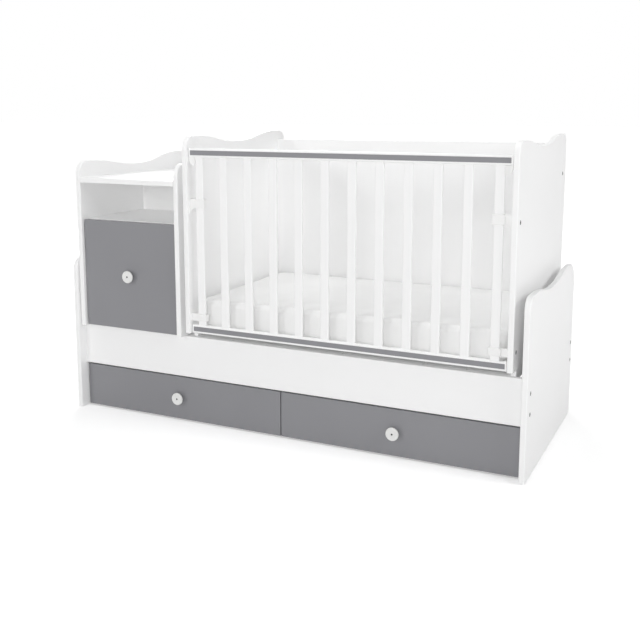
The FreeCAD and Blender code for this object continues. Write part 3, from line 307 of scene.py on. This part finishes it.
def rounded(place, low, high, corner, edges):
    """A point of a box, moved onto that box with round corners in plan and round lower and upper edges."""
    point = Vector(place)
    middle = (low + high) / 2
    inner = Vector((
        min(max(point.x, low.x + corner), high.x - corner),
        min(max(point.y, low.y + corner), high.y - corner)))
    out = Vector((point.x, point.y)) - inner
    reach = max(abs(out.x), abs(out.y))
    if reach == 0:
        return point
    edge = edges[1] if point.z > middle.z else edges[0]
    lift = abs(point.z - middle.z) - ((high.z - low.z) / 2 - edge)
    inset = edge - math.sqrt(max(edge * edge - lift * lift, 0.0)) if lift > 0 else 0.0
    share = min(max(reach - (corner - edge), 0.0) / edge, 1.0)
    point.x, point.y = inner + out.normalized() * (reach - inset * share)
    return point


def cover_start(low, high):
    """The cover before it swells: a box with round corners, its sides drawn in and its top crowned."""
    room = Vector(COVER_ROOM)
    low_start = low + room
    high_start = high - room
    low_start.z = low.z
    middle = (low_start + high_start) / 2
    half = (high_start - low_start) / 2
    start = lattice_box(low_start, high_start, COVER_CELLS)
    for vertex in start.verts:
        point = rounded(vertex.co, low_start, high_start, COVER_CORNER, COVER_EDGES)
        along = Vector((a / b for a, b in zip(point - middle, half)))
        point.x -= COVER_DRAW_IN * along.x * max(1 - along.y ** 2, 0.0)
        point.y -= COVER_DRAW_IN * along.y * max(1 - along.x ** 2, 0.0)
        point.z -= COVER_RIM_FALL * max(along.z, 0.0) * (along.x ** 4 + along.y ** 4) / 2
        vertex.co = point
    mesh = bpy.data.meshes.new("mattress_cover")
    start.to_mesh(mesh)
    start.free()
    return mesh


def swell(cover):
    """Inflates the cover by cloth pressure, each point within its reach."""
    cloth = cover.modifiers.new("Cloth", "CLOTH")
    for key, value in CLOTH_SETTINGS.items():
        setattr(cloth.settings, key, value)
    cloth.settings.effector_weights.gravity = 0
    cloth.point_cache.frame_start = 1
    cloth.point_cache.frame_end = CLOTH_STEPS
    for step in range(1, CLOTH_STEPS + 1):
        bpy.context.scene.frame_set(step)
    evaluated = cover.evaluated_get(bpy.context.evaluated_depsgraph_get())
    moved = [vertex.co.copy() for vertex in evaluated.data.vertices]
    cover.modifiers.remove(cloth)
    bpy.context.scene.frame_set(1)
    for vertex, after in zip(cover.data.vertices, moved):
        shift = after - vertex.co
        if shift.length > CLOTH_REACH:
            shift = shift.normalized() * CLOTH_REACH
        vertex.co = vertex.co + shift


def crease(mesh, low, high):
    """Small waves in the upper part of the cover, which stays inside the box of its solid."""
    for vertex in mesh.vertices:
        point = vertex.co
        height = (point.z - low.z) / (high.z - low.z)
        long_wave = noise.noise(Vector((point.x * CREASE_LONG_X, point.y * CREASE_LONG_Y, CREASE_LONG_LEVEL)))
        wave = long_wave + CREASE_SHORT_SHARE * noise.noise(point * CREASE_SHORT)
        point.z += CREASE_HEIGHT * wave * min(max(height - CREASE_START_SHARE, 0.0) * CREASE_GROWTH, 1.0)
        for axis in range(3):
            point[axis] = min(max(point[axis], low[axis]), high[axis])


def make_mattress():
    """Foam mattress in a knitted cover, in place of the mattress solid."""
    low, high = (Vector(corner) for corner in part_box("mattress"))
    mesh = cover_start(low, high)
    cover = bpy.data.objects.new("mattress_cover", mesh)
    bpy.context.scene.collection.objects.link(cover)
    swell(cover)
    crease(mesh, low, high)
    smooth = cover.modifiers.new("Subdivision", "SUBSURF")
    smooth.levels = 1
    smooth.render_levels = 1
    for polygon in mesh.polygons:
        polygon.use_smooth = True
    dress(cover, FABRIC)
    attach(cover, "frame")
    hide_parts("mattress")


make_mattress()


def seen_rays(tree):
    """1 for what the camera, a mirror or glass shows and 0 for the light that falls on things."""
    path = add(tree, "ShaderNodeLightPath")
    bounced = add(tree, "ShaderNodeMath", operation="MAXIMUM")
    tree.links.new(path.outputs["Is Glossy Ray"], bounced.inputs[0])
    tree.links.new(path.outputs["Is Transmission Ray"], bounced.inputs[1])
    seen = add(tree, "ShaderNodeMath", operation="MAXIMUM")
    tree.links.new(path.outputs["Is Camera Ray"], seen.inputs[0])
    tree.links.new(bounced.outputs["Value"], seen.inputs[1])
    return seen.outputs["Value"]


def make_stage():
    """A pale floor out to the horizon, seen as white where no shadow of the object lies."""
    mesh = bpy.data.meshes.new("floor")
    half = FLOOR_HALF
    corners = [(-half, -half, 0), (half, -half, 0), (half, half, 0), (-half, half, 0)]
    mesh.from_pydata(corners, [], [(0, 1, 2, 3)])
    floor = bpy.data.objects.new("floor", mesh)
    bpy.context.scene.collection.objects.link(floor)
    material, tree, shader = new_material("studio_floor")
    shader.inputs["Base Color"].default_value = FLOOR_COLOUR
    shader.inputs["Roughness"].default_value = FLOOR_ROUGHNESS
    shader.inputs["Specular IOR Level"].default_value = FLOOR_SPECULAR
    shader.inputs["Emission Color"].default_value = PURE_WHITE
    coordinates = add(tree, "ShaderNodeTexCoord")
    distance = add(tree, "ShaderNodeVectorMath", operation="LENGTH")
    tree.links.new(coordinates.outputs["Object"], distance.inputs[0])
    glow = add(tree, "ShaderNodeMath", operation="MULTIPLY")
    spread(tree, distance.outputs["Value"], GLOW_NEAR, GLOW_FAR, glow.inputs[0], GLOW_START, GLOW_END)
    tree.links.new(seen_rays(tree), glow.inputs[1])
    tree.links.new(glow.outputs["Value"], shader.inputs["Emission Strength"])
    mesh.materials.append(material)


def make_light():
    """Flat studio light as in the photograph: five soft lamps all round in a weak white surround."""
    world = bpy.data.worlds.new("studio")
    bpy.context.scene.world = world
    world.use_nodes = True
    tree = world.node_tree
    background = tree.nodes["Background"]
    background.inputs["Color"].default_value = PURE_WHITE
    spread(tree, seen_rays(tree), WORLD_LIGHT, WORLD_SEEN, background.inputs["Strength"])
    for name, (place, target, width, height, power) in LAMPS.items():
        data = bpy.data.lights.new(name, "AREA")
        data.shape = "RECTANGLE"
        data.size = width
        data.size_y = height
        data.energy = power
        lamp = bpy.data.objects.new(name, data)
        lamp.location = place
        lamp.rotation_euler = (Vector(target) - Vector(place)).to_track_quat("-Z", "Y").to_euler()
        bpy.context.scene.collection.objects.link(lamp)


def make_camera():
    """The photograph's viewpoint."""
    data = bpy.data.cameras.new("camera")
    data.sensor_width = CAMERA_SENSOR
    data.lens = CAMERA_LENS
    data.shift_y = CAMERA_SHIFT
    camera = bpy.data.objects.new("camera", data)
    camera.location = CAMERA_PLACE
    camera.rotation_euler = Euler((math.radians(90 - CAMERA_DOWN), 0, math.radians(CAMERA_LEFT)))
    bpy.context.scene.collection.objects.link(camera)
    bpy.context.scene.camera = camera


make_stage()
make_light()
make_camera()
bpy.context.scene.view_settings.view_transform = "Standard"
bpy.context.scene.cycles.max_bounces = LIGHT_BOUNCES
bpy.context.scene.cycles.diffuse_bounces = LIGHT_BOUNCES
